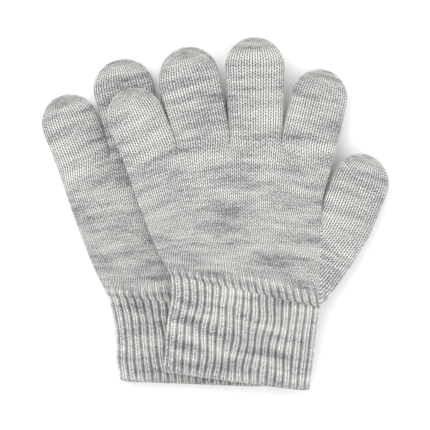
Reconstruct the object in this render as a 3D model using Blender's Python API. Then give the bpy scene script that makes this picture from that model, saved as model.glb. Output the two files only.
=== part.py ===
"""A pair of seamless machine-knitted gloves for a child, lying flat on a table.

The left-hand glove lies palm down on the table and the right-hand glove lies palm up on it, so
both thumbs point the same way. Each glove is knitted in one go, as a palm tube that four finger
tubes and a thumb tube grow out of, a ribbed cuff with covered elastic laid round inside it, and
a hem round the cuff's mouth. Every tube is a hollow wall of knit, open where the hand goes in.

Plan positions are in millimetres in a glove's own frame: +Y runs up the middle finger, and the
origin is near the middle of the wrist. The gloves are then turned and moved on to the table.
"""

import math
from dataclasses import dataclass

import bmesh
import bpy
from mathutils import Matrix, Vector
from mathutils.geometry import convex_hull_2d

MM = 0.001

# Driving dimensions, in millimetres.
WALL = 1.0
HAND_THICKNESS = 8.0
CUFF_THICKNESS = 8.4
WRIST_WIDTH = 65.8
MOUTH_WIDTH = 63.6
HEM_LENGTH = 3.4
JOIN_GAP = 0.4
STACK_GAP = 0.4
ELASTIC_DIAMETER = 0.4
ELASTIC_CLEARANCE = 0.45
ELASTIC_TURNS = 6

# The upper glove sags from the lower one to the table over this much of its cloth.
SAG_START = 3.0
SAG_LENGTH = 40.0

# Steps of the meshes: across a flat side, round an edge, and round a finger's tip.
PALM_FLAT_STEPS = 8
TUBE_FLAT_STEPS = 4
ROUND_STEPS = 4
TIP_ANGLES = (18, 36, 54, 70)
TUBE_ROWS = 4
CUFF_ROWS = 5

# The knuckle line, from the little finger's outer side to the index finger's, and the thumb's.
KNUCKLES = ((-52.9, 56.0), (-30.6, 65.8), (-7.0, 68.9), (15.9, 68.1), (39.7, 61.9))
THUMB_CROTCH = (33.4, 36.8)
THUMB_OUTER = (55.5, 25.8)


@dataclass
class Finger:
    """One finger: the two ends of its root line, and the centre and radius of its round tip."""

    name: str
    root_left: tuple
    root_right: tuple
    tip_centre: tuple
    tip_radius: float


FINGERS = (
    Finger("little", KNUCKLES[0], KNUCKLES[1], (-48.3, 76.6), 12.3),
    Finger("ring", KNUCKLES[1], KNUCKLES[2], (-24.7, 92.0), 13.2),
    Finger("middle", KNUCKLES[2], KNUCKLES[3], (4.2, 98.6), 12.8),
    Finger("index", KNUCKLES[3], KNUCKLES[4], (32.8, 85.4), 12.1),
    Finger("thumb", THUMB_CROTCH, THUMB_OUTER, (50.8, 47.6), 12.5),
)


@dataclass
class Glove:
    """Where a glove lies, and how its cuff lies on its palm."""

    name: str
    origin: tuple
    turn: float
    wrist: tuple
    wrist_tilt: float
    mouth: tuple
    mouth_tilt: float
    lies_on_top: bool
    colour: tuple

    def on_table(self, point):
        """A point of the glove's own frame on the table, in millimetres."""
        return Matrix.Rotation(math.radians(self.turn), 2) @ Vector(point) + Vector(self.origin)


LOWER = Glove("lower", (-18.11, -36.81), -1.5, (4.3, -2.2), -4.0, (9.2, -37.8), -0.7, False,
              (0.47, 0.47, 0.46))
UPPER = Glove("upper", (13.39, -33.41), 0.0, (0.0, 0.0), -12.5, (-3.8, -39.7), -7.5, True,
              (0.55, 0.55, 0.54))


def line_ends(centre, tilt, width):
    """The left and right end of a line across the cuff."""
    half = Matrix.Rotation(math.radians(tilt), 2) @ Vector((width / 2, 0))
    return Vector(centre) - half, Vector(centre) + half


def bezier(t, start, start_pull, end_pull, end):
    """A point of the cubic curve from start to end, as it leaves and arrives along its pulls."""
    second, third = start + start_pull, end + end_pull
    s = 1 - t
    return s**3 * start + 3 * s * s * t * second + 3 * s * t * t * third + t**3 * end


def finger_axis(finger):
    """A finger's root centre, its direction, and the direction across it to the right."""
    centre = (Vector(finger.root_left) + Vector(finger.root_right)) / 2
    along = (Vector(finger.tip_centre) - centre).normalized()
    return centre, along, Vector((along.y, -along.x))


def lower_hull():
    """The stretched outline of the lower glove, which carries the upper one."""
    points = list(line_ends(LOWER.mouth, LOWER.mouth_tilt, MOUTH_WIDTH))
    points += line_ends(LOWER.wrist, LOWER.wrist_tilt, WRIST_WIDTH)
    points += [Vector(THUMB_OUTER), Vector(KNUCKLES[0])]
    for finger in FINGERS:
        for degrees in range(0, 360, 30):
            spoke = Matrix.Rotation(math.radians(degrees), 2) @ Vector((finger.tip_radius, 0))
            points.append(Vector(finger.tip_centre) + spoke)
    points = [LOWER.on_table(p) for p in points]
    return [points[i] for i in convex_hull_2d(points)]


HULL = lower_hull()
STACK_HEIGHT = CUFF_THICKNESS + STACK_GAP


def distance_outside(point, hull):
    """How far a point lies outside a convex outline that runs anticlockwise, and 0 inside it."""
    inside, nearest = True, math.inf
    for start, end in zip(hull, hull[1:] + hull[:1]):
        side = end - start
        offset = point - start
        inside = inside and side.x * offset.y - side.y * offset.x >= 0
        share = min(1.0, max(0.0, offset.dot(side) / side.length_squared))
        nearest = min(nearest, (offset - side * share).length)
    return 0.0 if inside else nearest


def lift(point):
    """The height of the upper glove's underside over the table: on the lower glove, or sagging."""
    share = (distance_outside(point, HULL) - SAG_START) / SAG_LENGTH
    share = min(1.0, max(0.0, share))
    return STACK_HEIGHT * (1 - share * share * (3 - 2 * share))


def placed(glove, point, height):
    """A plan point of a glove and a height over its underside, as a place in metres."""
    plan = glove.on_table(point)
    base = lift(plan) if glove.lies_on_top else 0.0
    return Vector((plan.x, plan.y, base + height)) * MM


def section(left, right, thickness, flat_steps, crown=None, right_round=1.0):
    """The points of a flattened tube's section, as (plan point, height), once round.

    It runs over the top from left to right, round the right edge, back below, and round the left
    edge. crown moves the points of the two flat sides, and right_round scales the right edge's
    depth, which is 0 where an opening needs a square edge.
    """
    across = right - left
    unit, width, half = across.normalized(), across.length, thickness / 2
    depth = min(half, 0.45 * width)
    flat_end = width - depth * right_round
    top, below, right_edge, left_edge = [], [], [], []
    for i in range(flat_steps + 1):
        share = i / flat_steps
        point = left + unit * (depth + (flat_end - depth) * share)
        if crown:
            point = point + crown(share)
        top.append((point, thickness))
        below.append((point, 0.0))
    for i in range(1, ROUND_STEPS):
        angle = math.pi * i / ROUND_STEPS
        height = half + half * math.cos(angle)
        swing = depth * math.sin(angle)
        shift_right = crown(1.0) if crown else Vector((0, 0))
        shift_left = crown(0.0) if crown else Vector((0, 0))
        right_edge.append((left + unit * (flat_end + swing * right_round) + shift_right, height))
        left_edge.append((left + unit * (depth - swing) + shift_left, thickness - height))
    return top + right_edge + below[::-1] + left_edge


def clear_scene():
    for thing in list(bpy.data.objects):
        bpy.data.objects.remove(thing)


def knit_material(name, colour, roughness=0.95):
    material = bpy.data.materials.new(name)
    material.use_nodes = True
    shader = material.node_tree.nodes["Principled BSDF"]
    shader.inputs["Base Color"].default_value = (*colour, 1)
    shader.inputs["Roughness"].default_value = roughness
    shader.inputs["Metallic"].default_value = 0
    return material


def add_object(name, data, material):
    data.materials.append(material)
    thing = bpy.data.objects.new(name, data)
    bpy.context.scene.collection.objects.link(thing)
    return thing


def sleeve(glove, name, sections, material, closed_end=False, left_out=()):
    """A hollow knitted tube through the sections: a skin, thickened inwards by the wall.

    left_out holds (row, column) of the faces to leave out, where another tube opens into this.
    """
    mesh = bmesh.new()
    rings = [[mesh.verts.new(placed(glove, *point)) for point in ring] for ring in sections]
    count = len(rings[0])
    for row, (near, far) in enumerate(zip(rings, rings[1:])):
        for i in range(count):
            if (row, i) not in left_out:
                j = (i + 1) % count
                mesh.faces.new((near[i], near[j], far[j], far[i]))
    if closed_end:
        mesh.faces.new(rings[-1])
    bmesh.ops.recalc_face_normals(mesh, faces=mesh.faces)
    data = bpy.data.meshes.new(name)
    mesh.to_mesh(data)
    mesh.free()
    thing = add_object(name, data, material)
    wall = thing.modifiers.new("wall", "SOLIDIFY")
    wall.thickness = WALL * MM
    wall.offset = -1
    wall.use_even_offset = True
    data.shade_smooth()
    data.set_sharp_from_angle(angle=math.radians(50))
    return thing


def build_finger(glove, finger, material):
    """A tube from the root line to the round tip, which is knitted shut."""
    centre, along, across = finger_axis(finger)
    start = along * JOIN_GAP
    inset = across * JOIN_GAP / 2
    root_left = Vector(finger.root_left) + start + inset
    root_right = Vector(finger.root_right) + start - inset
    tip = Vector(finger.tip_centre)
    sections = []
    for row in range(TUBE_ROWS + 1):
        share = row / TUBE_ROWS
        left = root_left.lerp(tip - across * finger.tip_radius, share)
        right = root_right.lerp(tip + across * finger.tip_radius, share)
        sections.append(section(left, right, HAND_THICKNESS, TUBE_FLAT_STEPS))
    for degrees in TIP_ANGLES:
        angle = math.radians(degrees)
        middle = tip + along * finger.tip_radius * math.sin(angle)
        half = across * finger.tip_radius * math.cos(angle)
        thickness = HAND_THICKNESS * math.cos(angle) ** 0.45
        ring = section(middle - half, middle + half, thickness, TUBE_FLAT_STEPS)
        drop = (HAND_THICKNESS - thickness) / 2
        sections.append([(point, height + drop) for point, height in ring])
    name = f"{glove.name}_{finger.name}" + ("" if finger.name == "thumb" else "_finger")
    return sleeve(glove, name, sections, material, closed_end=True)


def palm_rows(glove):
    """The left and right end of each row of the palm, from the wrist to the knuckles."""
    wrist_left, wrist_right = line_ends(glove.wrist, glove.wrist_tilt, WRIST_WIDTH)
    outer_hand = [
        bezier(t, wrist_left, Vector((-6.0, 6.7)), Vector((7.4, -20.7)), Vector(KNUCKLES[0]))
        for t in (i / 9 for i in range(10))
    ]
    heel = [
        bezier(t, wrist_right, Vector((7.2, 6.9)), Vector((-4.6, -8.9)), Vector(THUMB_OUTER))
        for t in (0, 0.25, 0.5, 0.75, 1)
    ]
    thumb_mouth = [Vector(THUMB_OUTER).lerp(Vector(THUMB_CROTCH), share) for share in (0.5, 1)]
    index_side = [
        bezier(t, Vector(THUMB_CROTCH), Vector((0.4, 8.2)), Vector((-2.3, -8.9)), Vector(KNUCKLES[4]))
        for t in (1 / 3, 2 / 3, 1)
    ]
    return list(zip(outer_hand, heel + thumb_mouth + index_side))


def knuckle_crown(share):
    """How far the knuckle line stands over the straight line between its ends."""
    first, last = Vector(KNUCKLES[0]), Vector(KNUCKLES[4])
    place = share * (len(KNUCKLES) - 1)
    i = min(int(place), len(KNUCKLES) - 2)
    on_line = Vector(KNUCKLES[i]).lerp(Vector(KNUCKLES[i + 1]), place - i)
    return on_line - first.lerp(last, share)


def build_palm(glove, material):
    """The palm tube, with the thumb's mouth on its right and the fingers' mouth across its top."""
    rows = palm_rows(glove)
    mouth_rows = range(4, 7)
    sections = []
    for row, (left, right) in enumerate(rows):
        weight = (row / (len(rows) - 1)) ** 2

        def crown(share, weight=weight):
            return knuckle_crown(share) * weight

        square = 0.04 if row in mouth_rows else 1.0
        sections.append(section(left, right, HAND_THICKNESS, PALM_FLAT_STEPS, crown, square))
    edge_columns = range(PALM_FLAT_STEPS, PALM_FLAT_STEPS + ROUND_STEPS)
    left_out = {(row, i) for row in (4, 5) for i in edge_columns}
    return sleeve(glove, f"{glove.name}_palm", sections, material, left_out=left_out)


def cuff_line(glove, share):
    """The left and right end of a line across the cuff, from the wrist (0) to the mouth (1)."""
    wrist = line_ends(glove.wrist, glove.wrist_tilt, WRIST_WIDTH)
    mouth = line_ends(glove.mouth, glove.mouth_tilt, MOUTH_WIDTH)
    return [a.lerp(b, share) for a, b in zip(wrist, mouth)]


def cuff_length(glove):
    return (Vector(glove.mouth) - Vector(glove.wrist)).length


def build_band(glove, name, start, end, rows, material):
    """A stretch of the cuff's tube between two places along it, in millimetres from the wrist."""
    sections = []
    for row in range(rows + 1):
        share = (start + (end - start) * row / rows) / cuff_length(glove)
        left, right = cuff_line(glove, share)
        sections.append(section(left, right, CUFF_THICKNESS, PALM_FLAT_STEPS))
    return sleeve(glove, name, sections, material)


def build_elastic(glove, start, end, material):
    """The covered elastic, one thread laid round and round inside the ribbed cuff."""
    inset = WALL + ELASTIC_CLEARANCE + ELASTIC_DIAMETER / 2
    rings = section(Vector((0, 0)), Vector((1, 0)), 1.0, PALM_FLAT_STEPS)
    count = len(rings)
    spline_points = []
    for step in range(ELASTIC_TURNS * count + 1):
        share = (start + (end - start) * step / (ELASTIC_TURNS * count)) / cuff_length(glove)
        left, right = cuff_line(glove, share)
        unit = (right - left).normalized()
        ring = section(left + unit * inset, right - unit * inset, CUFF_THICKNESS - 2 * inset,
                       PALM_FLAT_STEPS)
        point, height = ring[step % count]
        spline_points.append(placed(glove, point, height + inset))
    curve = bpy.data.curves.new(f"{glove.name}_cuff_elastic", "CURVE")
    curve.dimensions = "3D"
    curve.bevel_depth = ELASTIC_DIAMETER / 2 * MM
    curve.bevel_resolution = 0
    curve.use_fill_caps = True
    spline = curve.splines.new("POLY")
    spline.points.add(len(spline_points) - 1)
    for point, place in zip(spline.points, spline_points):
        point.co = (*place, 1)
    return add_object(f"{glove.name}_cuff_elastic", curve, material)


def build_glove(glove):
    knit = knit_material(f"{glove.name}_knit", glove.colour)
    hem_knit = knit_material(f"{glove.name}_hem_knit", (0.66, 0.66, 0.64))
    covered_rubber = knit_material(f"{glove.name}_elastic", (0.78, 0.78, 0.76), 0.7)
    build_palm(glove, knit)
    for finger in FINGERS:
        build_finger(glove, finger, knit)
    hem_start = cuff_length(glove) - HEM_LENGTH
    build_band(glove, f"{glove.name}_cuff", JOIN_GAP, hem_start - JOIN_GAP, CUFF_ROWS, knit)
    build_band(glove, f"{glove.name}_hem", hem_start, cuff_length(glove), 1, hem_knit)
    build_elastic(glove, 4.0, hem_start - 3.0, covered_rubber)


def main():
    clear_scene()
    build_glove(LOWER)
    build_glove(UPPER)


main()
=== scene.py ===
import math

import bmesh
import bpy
import numpy as np
from mathutils import Matrix, Vector
from mathutils.geometry import convex_hull_2d


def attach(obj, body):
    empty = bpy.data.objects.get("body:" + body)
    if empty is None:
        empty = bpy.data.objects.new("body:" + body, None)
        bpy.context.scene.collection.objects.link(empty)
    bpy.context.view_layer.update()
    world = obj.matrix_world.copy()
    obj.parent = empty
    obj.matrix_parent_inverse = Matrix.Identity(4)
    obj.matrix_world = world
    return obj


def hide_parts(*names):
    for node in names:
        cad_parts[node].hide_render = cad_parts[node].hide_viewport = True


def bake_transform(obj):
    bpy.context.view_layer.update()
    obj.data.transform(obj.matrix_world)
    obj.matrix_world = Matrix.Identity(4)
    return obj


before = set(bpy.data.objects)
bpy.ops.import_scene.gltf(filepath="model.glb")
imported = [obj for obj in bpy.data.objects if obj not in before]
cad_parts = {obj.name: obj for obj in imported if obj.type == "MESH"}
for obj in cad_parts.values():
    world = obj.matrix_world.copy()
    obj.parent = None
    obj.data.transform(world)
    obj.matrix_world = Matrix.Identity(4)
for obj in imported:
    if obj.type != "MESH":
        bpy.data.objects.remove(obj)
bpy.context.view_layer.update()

# The pair: two of the same seamless glove, knitted in one go from a soft grey heather yarn. The
# left-hand glove lies palm down on the table. The right-hand glove lies palm up on it, and sags
# to the table where nothing is under it. Plan sizes are millimetres in a glove's own frame.
MM = 0.001
KNUCKLES = ((-52.9, 56.0), (-30.6, 65.8), (-7.0, 68.9), (15.9, 68.1), (39.7, 61.9))
THUMB_CROTCH = Vector((33.4, 36.8))
THUMB_OUTER = Vector((55.5, 25.8))
WRIST_WIDTH = 65.8
MOUTH_WIDTH = 63.6
STACK_HEIGHT = 8.8
SAG_START = 3.0
SAG_LENGTH = 40.0

LOWER = dict(name="lower", on_top=False, origin=(-18.11, -36.81), turn=-1.5, wrist=(4.3, -2.2),
             wrist_tilt=-4.0, mouth=(9.2, -37.8), mouth_tilt=-0.7, waist=1.2, waist_end=0.75,
             yarn_offset=(7.0, 131.0))
UPPER = dict(name="upper", on_top=True, origin=(13.39, -33.41), turn=0.0, wrist=(0.0, 0.0),
             wrist_tilt=-12.5, mouth=(-3.8, -39.7), mouth_tilt=-7.5, waist=1.1, waist_end=0.45,
             yarn_offset=(0.0, 0.0))
GLOVES = (LOWER, UPPER)

# name, left and right end of the root line, centre and radius of the round tip
FINGERS = (
    ("little_finger", KNUCKLES[0], KNUCKLES[1], (-48.3, 76.6), 12.3),
    ("ring_finger", KNUCKLES[1], KNUCKLES[2], (-24.7, 92.0), 13.2),
    ("middle_finger", KNUCKLES[2], KNUCKLES[3], (4.2, 98.6), 12.8),
    ("index_finger", KNUCKLES[3], KNUCKLES[4], (32.8, 85.4), 12.1),
    ("thumb", tuple(THUMB_CROTCH), tuple(THUMB_OUTER), (50.8, 47.6), 12.5),
)


def on_table(glove, plan):
    """Plan points of a glove's own frame, an (..., 2) array, as they lie on the table."""
    turn = math.radians(glove["turn"])
    x, y = plan[..., 0], plan[..., 1]
    return np.stack([x * math.cos(turn) - y * math.sin(turn) + glove["origin"][0],
                     x * math.sin(turn) + y * math.cos(turn) + glove["origin"][1]], axis=-1)


def line_ends(centre, tilt, width):
    half = Matrix.Rotation(math.radians(tilt), 2) @ Vector((width / 2, 0))
    return Vector(centre) - half, Vector(centre) + half


def lower_outline():
    """The lower glove's outline drawn tight round its fingers: it carries the upper glove."""
    points = list(line_ends(LOWER["mouth"], LOWER["mouth_tilt"], MOUTH_WIDTH))
    points += line_ends(LOWER["wrist"], LOWER["wrist_tilt"], WRIST_WIDTH)
    points += [THUMB_OUTER, Vector(KNUCKLES[0])]
    for _, _, _, tip, radius in FINGERS:
        for degrees in range(0, 360, 30):
            points.append(Vector(tip) + Matrix.Rotation(math.radians(degrees), 2) @ Vector((radius, 0)))
    points = on_table(LOWER, np.array([tuple(p) for p in points]))
    return points[convex_hull_2d([tuple(p) for p in points])]


OUTLINE = lower_outline()


def lift(plan):
    """Height of the upper glove's underside at table points: on the lower glove, or sagging."""
    inside = np.ones(plan.shape[:-1], bool)
    nearest = np.full(plan.shape[:-1], np.inf)
    for start, end in zip(OUTLINE, np.roll(OUTLINE, -1, axis=0)):
        side, offset = end - start, plan - start
        inside &= side[0] * offset[..., 1] - side[1] * offset[..., 0] >= 0
        share = np.clip((offset @ side) / (side @ side), 0, 1)
        nearest = np.minimum(nearest, np.linalg.norm(offset - share[..., None] * side, axis=-1))
    share = np.clip((np.where(inside, 0, nearest) - SAG_START) / SAG_LENGTH, 0, 1)
    return STACK_HEIGHT * (1 - share * share * (3 - 2 * share))


def soft_step(share):
    share = np.clip(share, 0, 1)
    return share * share * (3 - 2 * share)


# The knitted fabric. Each stitch is a V of two plump legs; a column of them is a wale and a row
# is a course. Stitches are counted in u (wales) and v (courses), and both the shape of the yarn
# and its colour follow that count, so they stay together over every piece.
COURSE = 1.3
LEG_SLANT = 0.85
STITCH_RISE = 0.42
RIB_RISE = 0.9
FABRIC = 1.0
BODY_THICKNESS = 7.3
BODY_LIFT = 0.3
REST_GAP = 0.05
SWELLING = 0.03


def leg_shape(u, v):
    """Low in the gaps between the legs, and 1 on top of one."""
    away = np.abs((u % 1) - 0.5) * 2
    along = (v - LEG_SLANT * away) % 1
    across = 1 - (2 * away - 1) ** 2
    across = np.where(away < 0.5, 0.35 + 0.65 * across, across)
    return across * (0.4 + 0.6 * (1 - (2 * along - 1) ** 2))


def ridge_shape(rib):
    """1 on top of a rib and 0 in the groove beside it, where ribs are two stitches wide."""
    return 0.5 + 0.5 * np.cos(math.pi * (rib - 0.5))


def knit_relief(stitches, ribs):
    """How far the yarn stands out in mm: plump legs everywhere, raised in ribs and sunk between."""
    u, v = stitches[..., 0], stitches[..., 1]
    ridge, strength = ridge_shape(ribs[..., 0]), ribs[..., 1]
    plain = leg_shape(u, v) * STITCH_RISE * (1 - 0.6 * strength * (1 - ridge))
    purl = 0.15 * (0.5 + 0.5 * np.sin(2 * math.pi * v)) * strength * (1 - ridge)
    return plain + purl + (ridge - 0.5) * RIB_RISE * strength


def swell(plan):
    """The slow unevenness of soft empty knit, as a factor on its thickness."""
    x, y = plan[..., 0], plan[..., 1]
    waves = np.sin(x / 9.7 + 1.3 * np.sin(y / 17.0)) + np.sin(y / 11.3 + 0.8 * np.sin(x / 13.0) + 2.0)
    return 1 + SWELLING * waves


def stand(glove, plan, height):
    """Places in metres of points at plan, with height -1 on the underside to 1 on top."""
    table = on_table(glove, plan)
    ground = lift(table) if glove["on_top"] else 0.0
    rise = BODY_LIFT + BODY_THICKNESS / 2 * (1 + height * np.minimum(swell(plan), 1 + SWELLING))
    return np.concatenate([table, (ground + rise)[..., None]], axis=-1) * MM


def outward(places):
    """Unit normals of a grid of places, from its neighbours along and across."""
    normal = np.cross(np.gradient(places, axis=1), np.gradient(places, axis=0))
    return normal / np.maximum(np.linalg.norm(normal, axis=-1, keepdims=True), 1e-12)


def stand_out(glove, smooth, relief):
    """The smooth face with its stitches raised, pressed flat where it rests on something."""
    raised = smooth + outward(smooth) * relief[..., None] * MM
    ground = lift(smooth[..., :2] / MM) if glove["on_top"] else 0.0
    raised[..., 2] = np.maximum(raised[..., 2], (ground + REST_GAP) * MM)
    return raised


def knit_grid(places, stitches, ribs, rims):
    """A mesh of a grid of places, with its count of stitches and its ribs as UVs.

    The rows in rims are where the fabric turns over a raw edge, which stays crisp.
    """
    rows, columns = places.shape[:2]
    grid = bmesh.new()
    bmesh.ops.create_grid(grid, x_segments=columns - 1, y_segments=rows - 1, size=1)
    mesh = bpy.data.meshes.new("grid")
    grid.to_mesh(mesh)
    grid.free()
    flat = np.empty(len(mesh.vertices) * 3)
    mesh.vertices.foreach_get("co", flat)
    flat = flat.reshape(-1, 3)
    column = np.rint((flat[:, 0] + 1) / 2 * (columns - 1)).astype(int)
    row = np.rint((flat[:, 1] + 1) / 2 * (rows - 1)).astype(int)
    mesh.vertices.foreach_set("co", places[row, column].ravel())
    ends = np.empty(len(mesh.edges) * 2, np.int32)
    mesh.edges.foreach_get("vertices", ends)
    row_of_end = row[ends.reshape(-1, 2)]
    along_rim = (row_of_end[:, 0] == row_of_end[:, 1]) & np.isin(row_of_end[:, 0], rims)
    mesh.edges.foreach_set("use_edge_sharp", along_rim)
    corner = np.empty(len(mesh.loops), np.int32)
    mesh.loops.foreach_get("vertex_index", corner)
    for name, values in (("stitches", stitches), ("ribs", ribs)):
        layer = mesh.uv_layers.new(name=name)
        layer.data.foreach_set("uv", values[row, column][corner].ravel())
    return mesh


def sewn(name, grids, material):
    """One closed piece from grids whose edges meet."""
    whole = bmesh.new()
    for mesh in grids:
        whole.from_mesh(mesh)
        bpy.data.meshes.remove(mesh)
    bmesh.ops.remove_doubles(whole, verts=whole.verts, dist=1e-6)
    bmesh.ops.dissolve_degenerate(whole, edges=whole.edges, dist=1e-7)
    data = bpy.data.meshes.new(name)
    whole.to_mesh(data)
    whole.free()
    data.materials.append(material)
    data.shade_smooth()
    piece = bpy.data.objects.new(name, data)
    bpy.context.scene.collection.objects.link(piece)
    return piece


class Nodes:
    """Short calls that build a material's node tree."""

    def __init__(self, material):
        material.use_nodes = True
        self.tree = material.node_tree
        self.shader = self.tree.nodes["Principled BSDF"]

    def add(self, kind, **settings):
        node = self.tree.nodes.new(kind)
        for name, value in settings.items():
            setattr(node, name, value)
        return node

    def link(self, source, target):
        self.tree.links.new(source, target)

    def math(self, operation, *values):
        node = self.add("ShaderNodeMath", operation=operation)
        for socket, value in zip(node.inputs, values):
            if isinstance(value, (int, float)):
                socket.default_value = value
            else:
                self.link(value, socket)
        return node.outputs[0]

    def mix(self, factor, first, second):
        node = self.add("ShaderNodeMix", data_type="RGBA")
        sockets = node.inputs[0], node.inputs[6], node.inputs[7]
        for socket, value in zip(sockets, (factor, first, second)):
            if isinstance(value, (int, float)):
                socket.default_value = value
            elif isinstance(value, tuple):
                socket.default_value = (*value, 1)
            else:
                self.link(value, socket)
        return node.outputs[2]

    def noise(self, vector, scale, detail=2.0, roughness=0.5):
        node = self.add("ShaderNodeTexNoise", noise_dimensions="3D")
        node.inputs["Scale"].default_value = scale
        node.inputs["Detail"].default_value = detail
        node.inputs["Roughness"].default_value = roughness
        self.link(vector, node.inputs["Vector"])
        return node.outputs[0]

    def pair(self, first, second):
        node = self.add("ShaderNodeCombineXYZ")
        self.link(first, node.inputs[0])
        self.link(second, node.inputs[1])
        return node.outputs[0]

    def hump(self, share):
        """0 at 0 and 1, and 1 halfway."""
        rising = self.math("MULTIPLY", share, 4.0)
        return self.math("MULTIPLY", rising, self.math("SUBTRACT", 1.0, share))

    def ramp(self, value, low, high):
        node = self.add("ShaderNodeMapRange", interpolation_type="SMOOTHSTEP")
        self.link(value, node.inputs[0])
        node.inputs[1].default_value = low
        node.inputs[2].default_value = high
        return node.outputs[0]


# place in the yarn's range of tones, and colour: dark fibres, greys, off-white
YARN_TONES = (
    (0.2, (0.13, 0.133, 0.14)),
    (0.38, (0.42, 0.423, 0.42)),
    (0.54, (0.68, 0.68, 0.655)),
    (0.75, (0.91, 0.905, 0.855)),
)
# painted shade colours, mixed in where little light gets down: between the legs, and in the grooves between
# ribs
PAINTED_GAP_SHADE = (0.06, 0.062, 0.068)
PAINTED_GROOVE_SHADE = (0.07, 0.072, 0.08)


def heather_yarn(name, offset):
    """Soft spun yarn of mixed grey and off-white fibres, as it shows in stocking stitch or rib, with
    painted shade in the gaps between its legs and in the grooves between ribs.
    """
    material = bpy.data.materials.new(name)
    n = Nodes(material)
    count = n.add("ShaderNodeSeparateXYZ")
    n.link(n.add("ShaderNodeUVMap", uv_map="stitches").outputs[0], count.inputs[0])
    u, v = n.math("ADD", count.outputs[0], offset[0]), n.math("ADD", count.outputs[1], offset[1])
    away = n.math("MULTIPLY", n.math("ABSOLUTE", n.math("SUBTRACT", n.math("FRACT", u), 0.5)), 2.0)
    slanted = n.math("SUBTRACT", v, n.math("MULTIPLY", away, LEG_SLANT))
    along_leg = n.math("MULTIPLY", n.hump(n.math("FRACT", slanted)), 0.7)
    leg = n.math("MULTIPLY", n.hump(away), n.math("ADD", along_leg, 0.3))
    course = n.math("FLOOR", slanted)

    # The yarn runs along a course, so its colour changes slowly along u and faster with v.
    bands = n.noise(n.pair(n.math("MULTIPLY", u, 0.07), n.math("MULTIPLY", v, 0.24)), 1.0, 3.0, 0.55)
    streaks = n.noise(n.pair(n.math("MULTIPLY", u, 0.2), n.math("MULTIPLY", course, 5.37)), 1.0, 2.0)
    fibres = n.noise(n.pair(n.math("MULTIPLY", u, 3.1), n.math("MULTIPLY", slanted, 1.9)), 1.0, 3.0, 0.7)
    tone = n.math("ADD", n.math("MULTIPLY", bands, 0.85), n.math("MULTIPLY", streaks, 0.4))
    tone = n.math("ADD", tone, n.math("MULTIPLY", fibres, 1.5))
    tones = n.add("ShaderNodeValToRGB")
    n.link(n.math("SUBTRACT", tone, 0.855), tones.inputs[0])
    while len(tones.color_ramp.elements) < len(YARN_TONES):
        tones.color_ramp.elements.new(0.5)
    for element, (place, colour) in zip(tones.color_ramp.elements, YARN_TONES):
        element.position = place
        element.color = (*colour, 1)

    # Painted shade: the gaps between the legs, and the grooves between ribs, are darkened in the colour, as
    # little light gets down into them.
    rib = n.add("ShaderNodeSeparateXYZ")
    n.link(n.add("ShaderNodeUVMap", uv_map="ribs").outputs[0], rib.inputs[0])
    gap_shade = n.math("SUBTRACT", 1.0, n.ramp(leg, 0.12, 0.7))
    gap_shade_weight = n.math("SUBTRACT", 0.95, n.math("MULTIPLY", rib.outputs[1], 0.33))
    colour = n.mix(n.math("MULTIPLY", gap_shade, gap_shade_weight), tones.outputs[0], PAINTED_GAP_SHADE)
    # painted shade in the grooves between ribs, darkest where the ribs stand out most
    turn = n.math("MULTIPLY", n.math("SUBTRACT", rib.outputs[0], 0.5), math.pi)
    groove = n.math("SUBTRACT", 0.5, n.math("MULTIPLY", n.math("COSINE", turn), 0.5))
    groove_shade_depth = n.math("MULTIPLY", n.ramp(groove, 0.4, 1.0), rib.outputs[1])
    shade = n.math("SUBTRACT", 1.3, n.math("MULTIPLY", bands, 1.2))
    colour = n.mix(n.math("MULTIPLY", groove_shade_depth, shade), colour, PAINTED_GROOVE_SHADE)
    n.link(colour, n.shader.inputs["Base Color"])

    # Fine fibres lie along each leg, and the yarn's surface is fuzzy.
    fuzz = n.noise(n.pair(n.math("MULTIPLY", u, 14.0), n.math("MULTIPLY", slanted, 4.0)), 1.0, 3.0, 0.6)
    bump = n.add("ShaderNodeBump")
    bump.inputs["Strength"].default_value = 0.7
    bump.inputs["Distance"].default_value = 0.0004
    n.link(n.math("ADD", leg, n.math("MULTIPLY", fuzz, 0.35)), bump.inputs["Height"])
    n.link(bump.outputs[0], n.shader.inputs["Normal"])
    n.link(n.math("ADD", n.math("MULTIPLY", fuzz, 0.15), 0.82), n.shader.inputs["Roughness"])
    n.shader.inputs["Sheen Weight"].default_value = 0.2
    n.shader.inputs["Sheen Roughness"].default_value = 0.6
    n.shader.inputs["Specular IOR Level"].default_value = 0.25
    return material


# Palm tubes. One wide tube runs up from the wrist; the thumb's stitches are added in a gore
# that widens it from the wrist to the thumb, and it ends in four finger mouths.
FINGER_WALES = 12
PALM_WALES = 4 * FINGER_WALES
SAMPLES = 4
COURSES_TO_CROTCH = 34
COURSES_TO_KNUCKLES = 54
PALM_ROWS = 3
PINCH_COURSES = 7.0
EDGE_RADIUS = 4.6
FOLD_POWER = 2.3
FOLD_POINTS = 801
MOUTH_ROUNDING = 0.44
SEAM_FADE = 0.6
LINING_STEP = 6
LINING_HEIGHT = 1 - 2 * FABRIC / BODY_THICKNESS
CUFF_WALES = 80
SPARE_WALES = (PALM_WALES - CUFF_WALES // 2) / 2
RIBS_FADE = 14.0
GATHER_FADE = 28.0
RIDGE_SPREAD = 0.55


def bezier(share, start, start_pull, end_pull, end):
    share = np.asarray(share, float)[..., None]
    rest = 1 - share
    start, end = np.array(start), np.array(end)
    second, third = start + np.array(start_pull), end + np.array(end_pull)
    return rest**3 * start + 3 * rest**2 * share * second + 3 * rest * share**2 * third + share**3 * end


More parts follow.
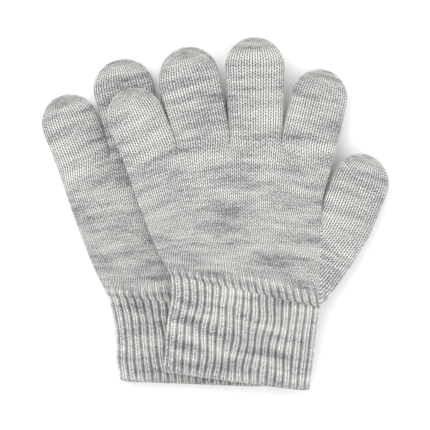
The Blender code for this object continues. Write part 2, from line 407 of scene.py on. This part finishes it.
def rolled_edges(width, radius):
    """A table of a flattened tube's upper face: distance across, height 0 to 1, and arc length."""
    across = width * (1 - np.cos(np.linspace(0, math.pi, FOLD_POINTS))) / 2
    near = np.minimum(across, width - across)
    height = (1 - np.clip(1 - near / min(radius, width / 2), 0, 1) ** FOLD_POWER) ** (1 / FOLD_POWER)
    steps = np.hypot(np.diff(across), np.diff(height) * BODY_THICKNESS / 2)
    return across, height, np.concatenate([[0], np.cumsum(steps)])


def evenly(table, first, last, count):
    """count + 1 (distance, height) evenly spaced along the fabric between two arc lengths."""
    across, height, arc = table
    want = np.linspace(first, last, count + 1)
    return np.interp(want, arc, across), np.interp(want, arc, height)


def finger_mouth(width):
    """The section at a finger's root: a plump flattened tube."""
    table = rolled_edges(width, width * MOUTH_ROUNDING)
    return evenly(table, 0, table[2][-1], FINGER_WALES * SAMPLES)


def knuckle_crown(share):
    """How far the line of knuckles stands off its straight chord."""
    place = np.clip(share * 4, 0, 4)
    corners = np.array(KNUCKLES)
    x = np.interp(place, range(5), corners[:, 0])
    y = np.interp(place, range(5), corners[:, 1])
    chord = corners[0] + share[:, None] * (corners[4] - corners[0])
    return np.stack([x, y], axis=-1) - chord


def palm_sides(glove, rows, crotch):
    """The hand's left and right edges in plan, row by row, and the gore's outer edge."""
    wrist_left, wrist_right = line_ends(glove["wrist"], glove["wrist_tilt"], WRIST_WIDTH)
    left = bezier(np.arange(rows + 1) / rows, wrist_left, (-6.0, 6.7), (7.4, -20.7), KNUCKLES[0])
    below = np.arange(crotch + 1) / crotch
    gore_line = np.array(wrist_right) + below[:, None] * np.array(THUMB_CROTCH - wrist_right)
    heel = bezier(below, wrist_right, (7.2, 6.9), (-4.6, -8.9), THUMB_OUTER)
    above = np.arange(1, rows - crotch + 1) / (rows - crotch)
    index_side = bezier(above, THUMB_CROTCH, (0.4, 8.2), (-2.3, -8.9), KNUCKLES[4])
    return left, np.concatenate([gore_line, index_side]), heel


def four_mouths(width):
    """The section at the knuckles: four finger mouths side by side."""
    mouths = [finger_mouth(math.dist(start, end)) for _, start, end, _, _ in FINGERS[:4]]
    x = [(x[1:] / x[-1] + place) / 4 * width for place, (x, _) in enumerate(mouths)]
    return np.concatenate([[0.0], *x]), np.concatenate([[0.0], *(z[1:] for _, z in mouths)])


def palm_sections(glove):
    """Plan and height of the palm's upper face: the hand's columns, and the gore's."""
    rows, crotch = COURSES_TO_KNUCKLES * PALM_ROWS, COURSES_TO_CROTCH * PALM_ROWS
    left, right, heel = palm_sides(glove, rows, crotch)
    thumb_x, thumb_z = finger_mouth((THUMB_OUTER - THUMB_CROTCH).length)
    hand_plan, hand_height, gore_plan, gore_height = [], [], [], []
    for row in range(rows + 1):
        width = np.linalg.norm(right[row] - left[row])
        gore = np.linalg.norm(heel[row] - right[row]) if row < crotch else 0.0
        whole = rolled_edges(width + gore, EDGE_RADIUS)
        seam = np.interp(width, whole[0], whole[2])
        x, z = evenly(whole, 0, seam, PALM_WALES * SAMPLES)
        pinch = soft_step(1 - (crotch - row) / (PINCH_COURSES * PALM_ROWS))
        shut = rolled_edges(width, EDGE_RADIUS)
        shut_x, shut_z = evenly(shut, 0, shut[2][-1], PALM_WALES * SAMPLES)
        x, z = x + (shut_x - x) * pinch, z + (shut_z - z) * pinch
        fan = soft_step(1 - (rows - row) / (PINCH_COURSES * PALM_ROWS))
        mouths_x, mouths_z = four_mouths(width)
        x, z = x + (mouths_x - x) * fan, z + (mouths_z - z) * fan
        part = x / width
        line = left[row] + part[:, None] * (right[row] - left[row])
        hand_plan.append(line + knuckle_crown(part) * (row / rows) ** 2)
        hand_height.append(z)
        if row <= crotch:
            x, z = evenly(whole, seam, whole[2][-1], FINGER_WALES * SAMPLES)
            part = (x - width) / gore if gore > 1e-6 else np.zeros_like(x)
            part = part + (thumb_x / thumb_x[-1] - part) * pinch
            gore_plan.append(right[row] + part[:, None] * (heel[row] - right[row]))
            gore_height.append(z + (thumb_z - z) * pinch)
    return tuple(np.array(a) for a in (hand_plan, hand_height, gore_plan, gore_height))


def both_faces(upper, under=None):
    """Columns of the upper face, then back along the under face, which is like it unless given."""
    under = upper if under is None else under
    return np.concatenate([upper, under[:, ::-1][:, 1:]], axis=1)


def paired(first, second):
    return np.stack(np.broadcast_arrays(first, second), axis=-1)


def lined(glove, plan, height, stitches, ribs, relief, middle):
    """A tube's outer face with its stitches standing out, and its lining, as one grid's data."""
    outer = stand_out(glove, stand(glove, plan, height), relief)
    keep = slice(None, None, LINING_STEP)
    reach = np.linalg.norm(plan - middle, axis=-1).max(axis=1)[:, None, None]
    inner_plan = plan + (middle - plan) * FABRIC / reach
    inner = stand(glove, inner_plan, height * LINING_HEIGHT)[keep][::-1]
    joined = [np.concatenate([outer, inner, outer[:1]])]
    joined += [np.concatenate([a, a[keep][::-1], a[:1]]) for a in (stitches, ribs)]
    first_inner, last = len(outer), len(outer) + len(inner)
    return joined + [(0, first_inner - 1, first_inner, last - 1, last)]


def rib_wale(place):
    """The count of stitches across a rib: the ones that stand out spread over the sunk ones."""
    return place - RIDGE_SPREAD / math.pi * np.sin(math.pi * (place - 0.5))


def rib_strength(distance):
    """How strongly the ribs stand out, at distances in mm below the wrist, or above it if under 0."""
    return soft_step(1 + distance / RIBS_FADE)


def knit_palm(glove, material):
    hand, hand_height, gore, gore_height = palm_sections(glove)
    columns = PALM_WALES * SAMPLES
    plan = np.concatenate([hand[:, ::-1], hand[:, 1:]], axis=1)
    height = np.concatenate([-hand_height[:, ::-1], hand_height[:, 1:]], axis=1)
    column = np.arange(-columns, columns + 1)
    v = np.arange(len(hand)) / PALM_ROWS
    strength = rib_strength(-v * COURSE)[:, None]
    gathered = SPARE_WALES + rib_wale(column / columns * CUFF_WALES / 2)
    gathering = soft_step(1 - v * COURSE / GATHER_FADE)[:, None]
    u = column / SAMPLES + (gathered - column / SAMPLES) * gathering
    stitches = paired(u, v[:, None])
    ribs = paired(u - SPARE_WALES, strength)
    relief = knit_relief(stitches, ribs)
    relief[:, [0, -1]] = 0
    ends = np.stack([hand[:, 0], hand[:, -1]])
    crotch = len(gore) - 1
    ends[1][: crotch + 1] = gore[:, -1]
    middle = ends.mean(axis=0)[:, None, :]
    hand_grid = knit_grid(*lined(glove, plan, height, stitches, ribs, relief, middle))

    plan = both_faces(gore)
    height = both_faces(gore_height, -gore_height)
    wale = np.array(THUMB_OUTER - THUMB_CROTCH) / FINGER_WALES
    _, wrist_right = line_ends(glove["wrist"], glove["wrist_tilt"], WRIST_WIDTH)
    course = np.array((THUMB_OUTER - wrist_right).normalized()) * COURSE
    skew = np.linalg.inv(np.stack([wale, course], axis=1))
    even = np.linspace(0, 1, gore.shape[1])[:, None]
    flat = gore[:, :1] + even * (gore[:, -1:] - gore[:, :1])
    counted = (flat - np.array(THUMB_CROTCH)) @ skew.T
    counted[..., 1] += COURSES_TO_CROTCH
    under = counted.copy()
    under[..., 0] = 2 * counted[:, -1:, 0] - counted[..., 0]
    stitches = both_faces(counted, under)
    from_seam = both_faces(np.linalg.norm(flat - flat[:, :1], axis=-1))
    fade = np.clip(from_seam / SEAM_FADE, 0, 1)
    rib = CUFF_WALES / 2 + from_seam * CUFF_WALES / 2 / WRIST_WIDTH
    ribs = paired(rib_wale(rib), strength[: crotch + 1])
    relief = knit_relief(stitches, ribs) * fade
    gore_grid = knit_grid(*lined(glove, plan, height, stitches, ribs, relief, middle[: crotch + 1]))
    piece = sewn(f"{glove['name']}_palm_knit", [hand_grid, gore_grid], material)
    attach(piece, f"{glove['name']}_palm")
    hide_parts(f"{glove['name']}_palm")


YARN = {}
for glove in GLOVES:
    YARN[glove["name"]] = heather_yarn(f"{glove['name']} heather yarn", glove["yarn_offset"])
    knit_palm(glove, YARN[glove["name"]])


# Fingers and thumbs. Each is a tube of stitches knitted on from its root line, and drawn shut at
# the tip, where its wales crowd together.
FINGER_ROWS = 4
TIP_FADE = 6.0
TIP_COURSES = 4


def finger_sections(finger):
    """Plan and height of a finger's upper face, from its root to its tip."""
    _, root_left, root_right, tip, radius = finger
    root_left, root_right, tip = (np.array(p, float) for p in (root_left, root_right, tip))
    root = (root_left + root_right) / 2
    along = (tip - root) / np.linalg.norm(tip - root)
    across = np.array([along[1], -along[0]])
    straight = np.linalg.norm(tip - root)
    arc = radius * math.pi / 2
    courses = round((straight + arc) / COURSE)
    travel = np.linspace(0, straight + arc, courses * FINGER_ROWS + 1)
    plan, height = [], []
    for distance in travel:
        share = min(distance / straight, 1.0)
        left = root_left + (tip - across * radius - root_left) * share
        right = root_right + (tip + across * radius - root_right) * share
        full = 1.0
        if distance > straight:
            angle = min((distance - straight) / radius, math.pi / 2 - 1e-3)
            centre = tip + along * radius * math.sin(angle)
            left = centre - across * radius * math.cos(angle)
            right = centre + across * radius * math.cos(angle)
            full = math.cos(angle) ** 0.5
        x, z = finger_mouth(np.linalg.norm(root_right - root_left))
        plan.append(left + (x / x[-1])[:, None] * (right - left))
        height.append(z * full)
    return np.array(plan), np.array(height)


def knit_finger(glove, index, finger, material):
    name = finger[0]
    plan, height = finger_sections(finger)
    thumb = name == "thumb"
    u_start = 0 if thumb else index * FINGER_WALES
    v_start = COURSES_TO_CROTCH if thumb else COURSES_TO_KNUCKLES
    u = u_start + np.arange(2 * FINGER_WALES * SAMPLES + 1) / SAMPLES
    v = v_start + np.arange(len(plan)) / FINGER_ROWS
    stitches = paired(u[None, :], v[:, None])
    middle = (plan[:, :1] + plan[:, -1:]) / 2
    width = np.linalg.norm(plan[:, -1] - plan[:, 0], axis=-1)
    fade = np.clip(width / TIP_FADE, 0, 1)[:, None]
    ring = both_faces(plan)
    rise = both_faces(height, -height)
    relief = STITCH_RISE * leg_shape(stitches[..., 0], stitches[..., 1]) * fade
    outer = stand_out(glove, stand(glove, ring, rise), relief)
    keep = slice(None, -FINGER_ROWS * TIP_COURSES, LINING_STEP)
    inner_plan = ring + (middle - ring) * FABRIC / (width[0] / 2)
    inner = stand(glove, inner_plan, rise * LINING_HEIGHT)[keep][::-1]
    shut_in = np.broadcast_to(inner[0].mean(axis=0), inner[:1].shape)
    shut_out = np.broadcast_to(outer[-1].mean(axis=0), outer[:1].shape)
    places = np.concatenate([shut_in, inner, outer[:-1], shut_out])
    counts = np.concatenate([stitches[keep][-1:], stitches[keep][::-1], stitches])
    seam = np.concatenate([places[:, :-1], places[:, :1]], axis=1)
    no_ribs = np.zeros_like(counts)
    root_rows = (len(inner), len(inner) + 1)
    grid = knit_grid(seam, counts, no_ribs, root_rows)
    piece = sewn(f"{glove['name']}_{name}_knit", [grid], material)
    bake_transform(piece)
    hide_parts(f"{glove['name']}_{name}")


for glove in GLOVES:
    for index, finger in enumerate(FINGERS):
        knit_finger(glove, index, finger, YARN[glove["name"]])


# Cuffs and hems. A cuff is knitted in ribs, one stitch out and one stitch in, which draw it
# narrow. It ends in a doubled hem, and a thin covered elastic runs round and round inside it.
CUFF_ROWS = 4
CUFF_SAMPLES = 6
HEM_LENGTH = 3.4
HEM_FLATTENING = 0.55
HEM_PLUMPNESS = 0.2
HEM_ROUNDING = 0.35
CORNER = 1.5
WANDER = 0.5
WANDER_FADE = 9.0


def cuff_length(glove):
    return (Vector(glove["mouth"]) - Vector(glove["wrist"])).length


def cuff_sections(glove, near_mouth, near_wrist, rows):
    """Plan and height of a cuff's upper face, between two distances from the wrist."""
    wrist = line_ends(glove["wrist"], glove["wrist_tilt"], WRIST_WIDTH)
    mouth = line_ends(glove["mouth"], glove["mouth_tilt"], MOUTH_WIDTH)
    plan, height = [], []
    for distance in np.linspace(near_mouth, near_wrist, rows + 1):
        share = distance / cuff_length(glove)
        left, right = (np.array(a.lerp(b, share)) for a, b in zip(wrist, mouth))
        across = (right - left) / np.linalg.norm(right - left)
        to_mouth = min(1.0, (cuff_length(glove) - distance) / CORNER)
        corner = CORNER * (1 - math.sqrt(1 - (1 - to_mouth) ** 2))
        waist = glove["waist"] * math.sin(math.pi * min(1.0, share / glove["waist_end"]))
        left = left + across * (corner + waist)
        right = right - across * corner
        table = rolled_edges(np.linalg.norm(right - left), EDGE_RADIUS)
        x, z = evenly(table, 0, table[2][-1], CUFF_WALES // 2 * CUFF_SAMPLES)
        part = x / x[-1]
        # Two slow waves carry the ribs a little to the left and right on their way down.
        drift = np.sin(distance / 5.7 + 9.0 * part) + 0.6 * np.sin(distance / 2.9 - 14.0 * part + 1.0)
        drift = drift * np.sin(math.pi * part) * soft_step(distance / WANDER_FADE) * WANDER
        plan.append(left + (x + drift)[:, None] * across)
        height.append(z)
    return np.array(plan), np.array(height)


def knit_band(glove, name, near_mouth, near_wrist, strength_of, roll, material):
    """A ribbed band between two distances from the wrist, with its own rib strength and roll."""
    courses = max(2, round((near_mouth - near_wrist) / COURSE))
    rows = courses * CUFF_ROWS
    upper, height = cuff_sections(glove, near_mouth, near_wrist, rows)
    middle = (upper[:, :1] + upper[:, -1:]) / 2
    plan = both_faces(upper)
    rise = both_faces(height, -height)
    distance = np.linspace(near_mouth, near_wrist, rows + 1)[:, None]
    u = rib_wale(np.arange(CUFF_WALES * CUFF_SAMPLES + 1) / CUFF_SAMPLES)
    stitches = paired(u + SPARE_WALES, -distance / COURSE)
    ribs = paired(u, strength_of(distance))
    relief = knit_relief(stitches, ribs) + roll(distance)
    data = lined(glove, plan, rise, stitches, ribs, relief, middle)
    data[0] = np.concatenate([data[0][:, :-1], data[0][:, :1]], axis=1)
    return sewn(name, [knit_grid(*data)], material)


def hem_share(distance):
    return (distance - distance.min()) / np.ptp(distance)


def hem_strength(distance):
    """The ribs flatten toward the mouth."""
    return 1.0 - HEM_FLATTENING * soft_step(hem_share(distance))


def hem_roll(distance):
    """The hem is doubled knit, a little thicker than the cuff, and rounded over at the mouth."""
    share = hem_share(distance)
    return HEM_PLUMPNESS * np.sin(share * math.pi) - HEM_ROUNDING * soft_step((share - 0.7) / 0.3)


def no_roll(distance):
    return 0.0


def covered_elastic(name):
    """Matt off-white thread wound closely round a rubber core."""
    material = bpy.data.materials.new(name)
    n = Nodes(material)
    speckle = n.noise(n.add("ShaderNodeTexCoord").outputs["Object"], 2500.0)
    thread = n.mix(speckle, (0.62, 0.62, 0.60), (0.85, 0.85, 0.82))
    n.link(thread, n.shader.inputs["Base Color"])
    n.shader.inputs["Roughness"].default_value = 0.7
    return material


for glove in GLOVES:
    side = glove["name"]
    yarn = YARN[side]
    length = cuff_length(glove)
    cuff = knit_band(glove, f"{side}_ribbed_cuff", length - HEM_LENGTH, 0.0, rib_strength, no_roll, yarn)
    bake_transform(cuff)
    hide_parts(f"{side}_cuff")
    hem = knit_band(glove, f"{side}_knitted_hem", length, length - HEM_LENGTH, hem_strength, hem_roll, yarn)
    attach(hem, f"{side}_cuff")
    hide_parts(f"{side}_hem")

    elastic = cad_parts[f"{side}_cuff_elastic"]
    elastic.data.materials.clear()
    elastic.data.materials.append(covered_elastic(f"{side} covered elastic"))


# Table, light and camera. A plain white table under large soft lamps, seen from straight above.
floor_mesh = bpy.data.meshes.new("table top")
plate = bmesh.new()
bmesh.ops.create_grid(plate, x_segments=1, y_segments=1, size=2.0)
plate.to_mesh(floor_mesh)
plate.free()
floor = bpy.data.objects.new("table_top", floor_mesh)
bpy.context.scene.collection.objects.link(floor)
white = bpy.data.materials.new("white table top")
white.use_nodes = True
white.node_tree.nodes["Principled BSDF"].inputs["Base Color"].default_value = (0.97, 0.97, 0.97, 1)
white.node_tree.nodes["Principled BSDF"].inputs["Roughness"].default_value = 0.8
floor_mesh.materials.append(white)

world = bpy.data.worlds.new("studio")
world.use_nodes = True
world.node_tree.nodes["Background"].inputs[0].default_value = (1, 1, 1, 1)
world.node_tree.nodes["Background"].inputs[1].default_value = 1.05
bpy.context.scene.world = world


def soft_lamp(name, place, size, power):
    lamp = bpy.data.lights.new(name, "AREA")
    lamp.size = size
    lamp.energy = power
    thing = bpy.data.objects.new(name, lamp)
    thing.location = place
    thing.rotation_euler = (-Vector(place)).to_track_quat("-Z", "Y").to_euler()
    bpy.context.scene.collection.objects.link(thing)


soft_lamp("key", (-0.35, 0.4, 0.9), 0.7, 3.4)
soft_lamp("fill", (0.4, -0.3, 0.9), 0.9, 2.0)

VIEW_WIDTH = 0.1892
VIEW_HEIGHT = 0.012
LENS = 150
SENSOR = 36
camera_data = bpy.data.cameras.new("camera")
camera_data.lens = LENS
camera_data.sensor_width = SENSOR
camera_data.clip_end = 10
camera = bpy.data.objects.new("camera", camera_data)
camera.location = (0, 0, VIEW_HEIGHT + VIEW_WIDTH / SENSOR * LENS)
bpy.context.scene.collection.objects.link(camera)
bpy.context.scene.camera = camera
bpy.context.scene.view_settings.view_transform = "Standard"
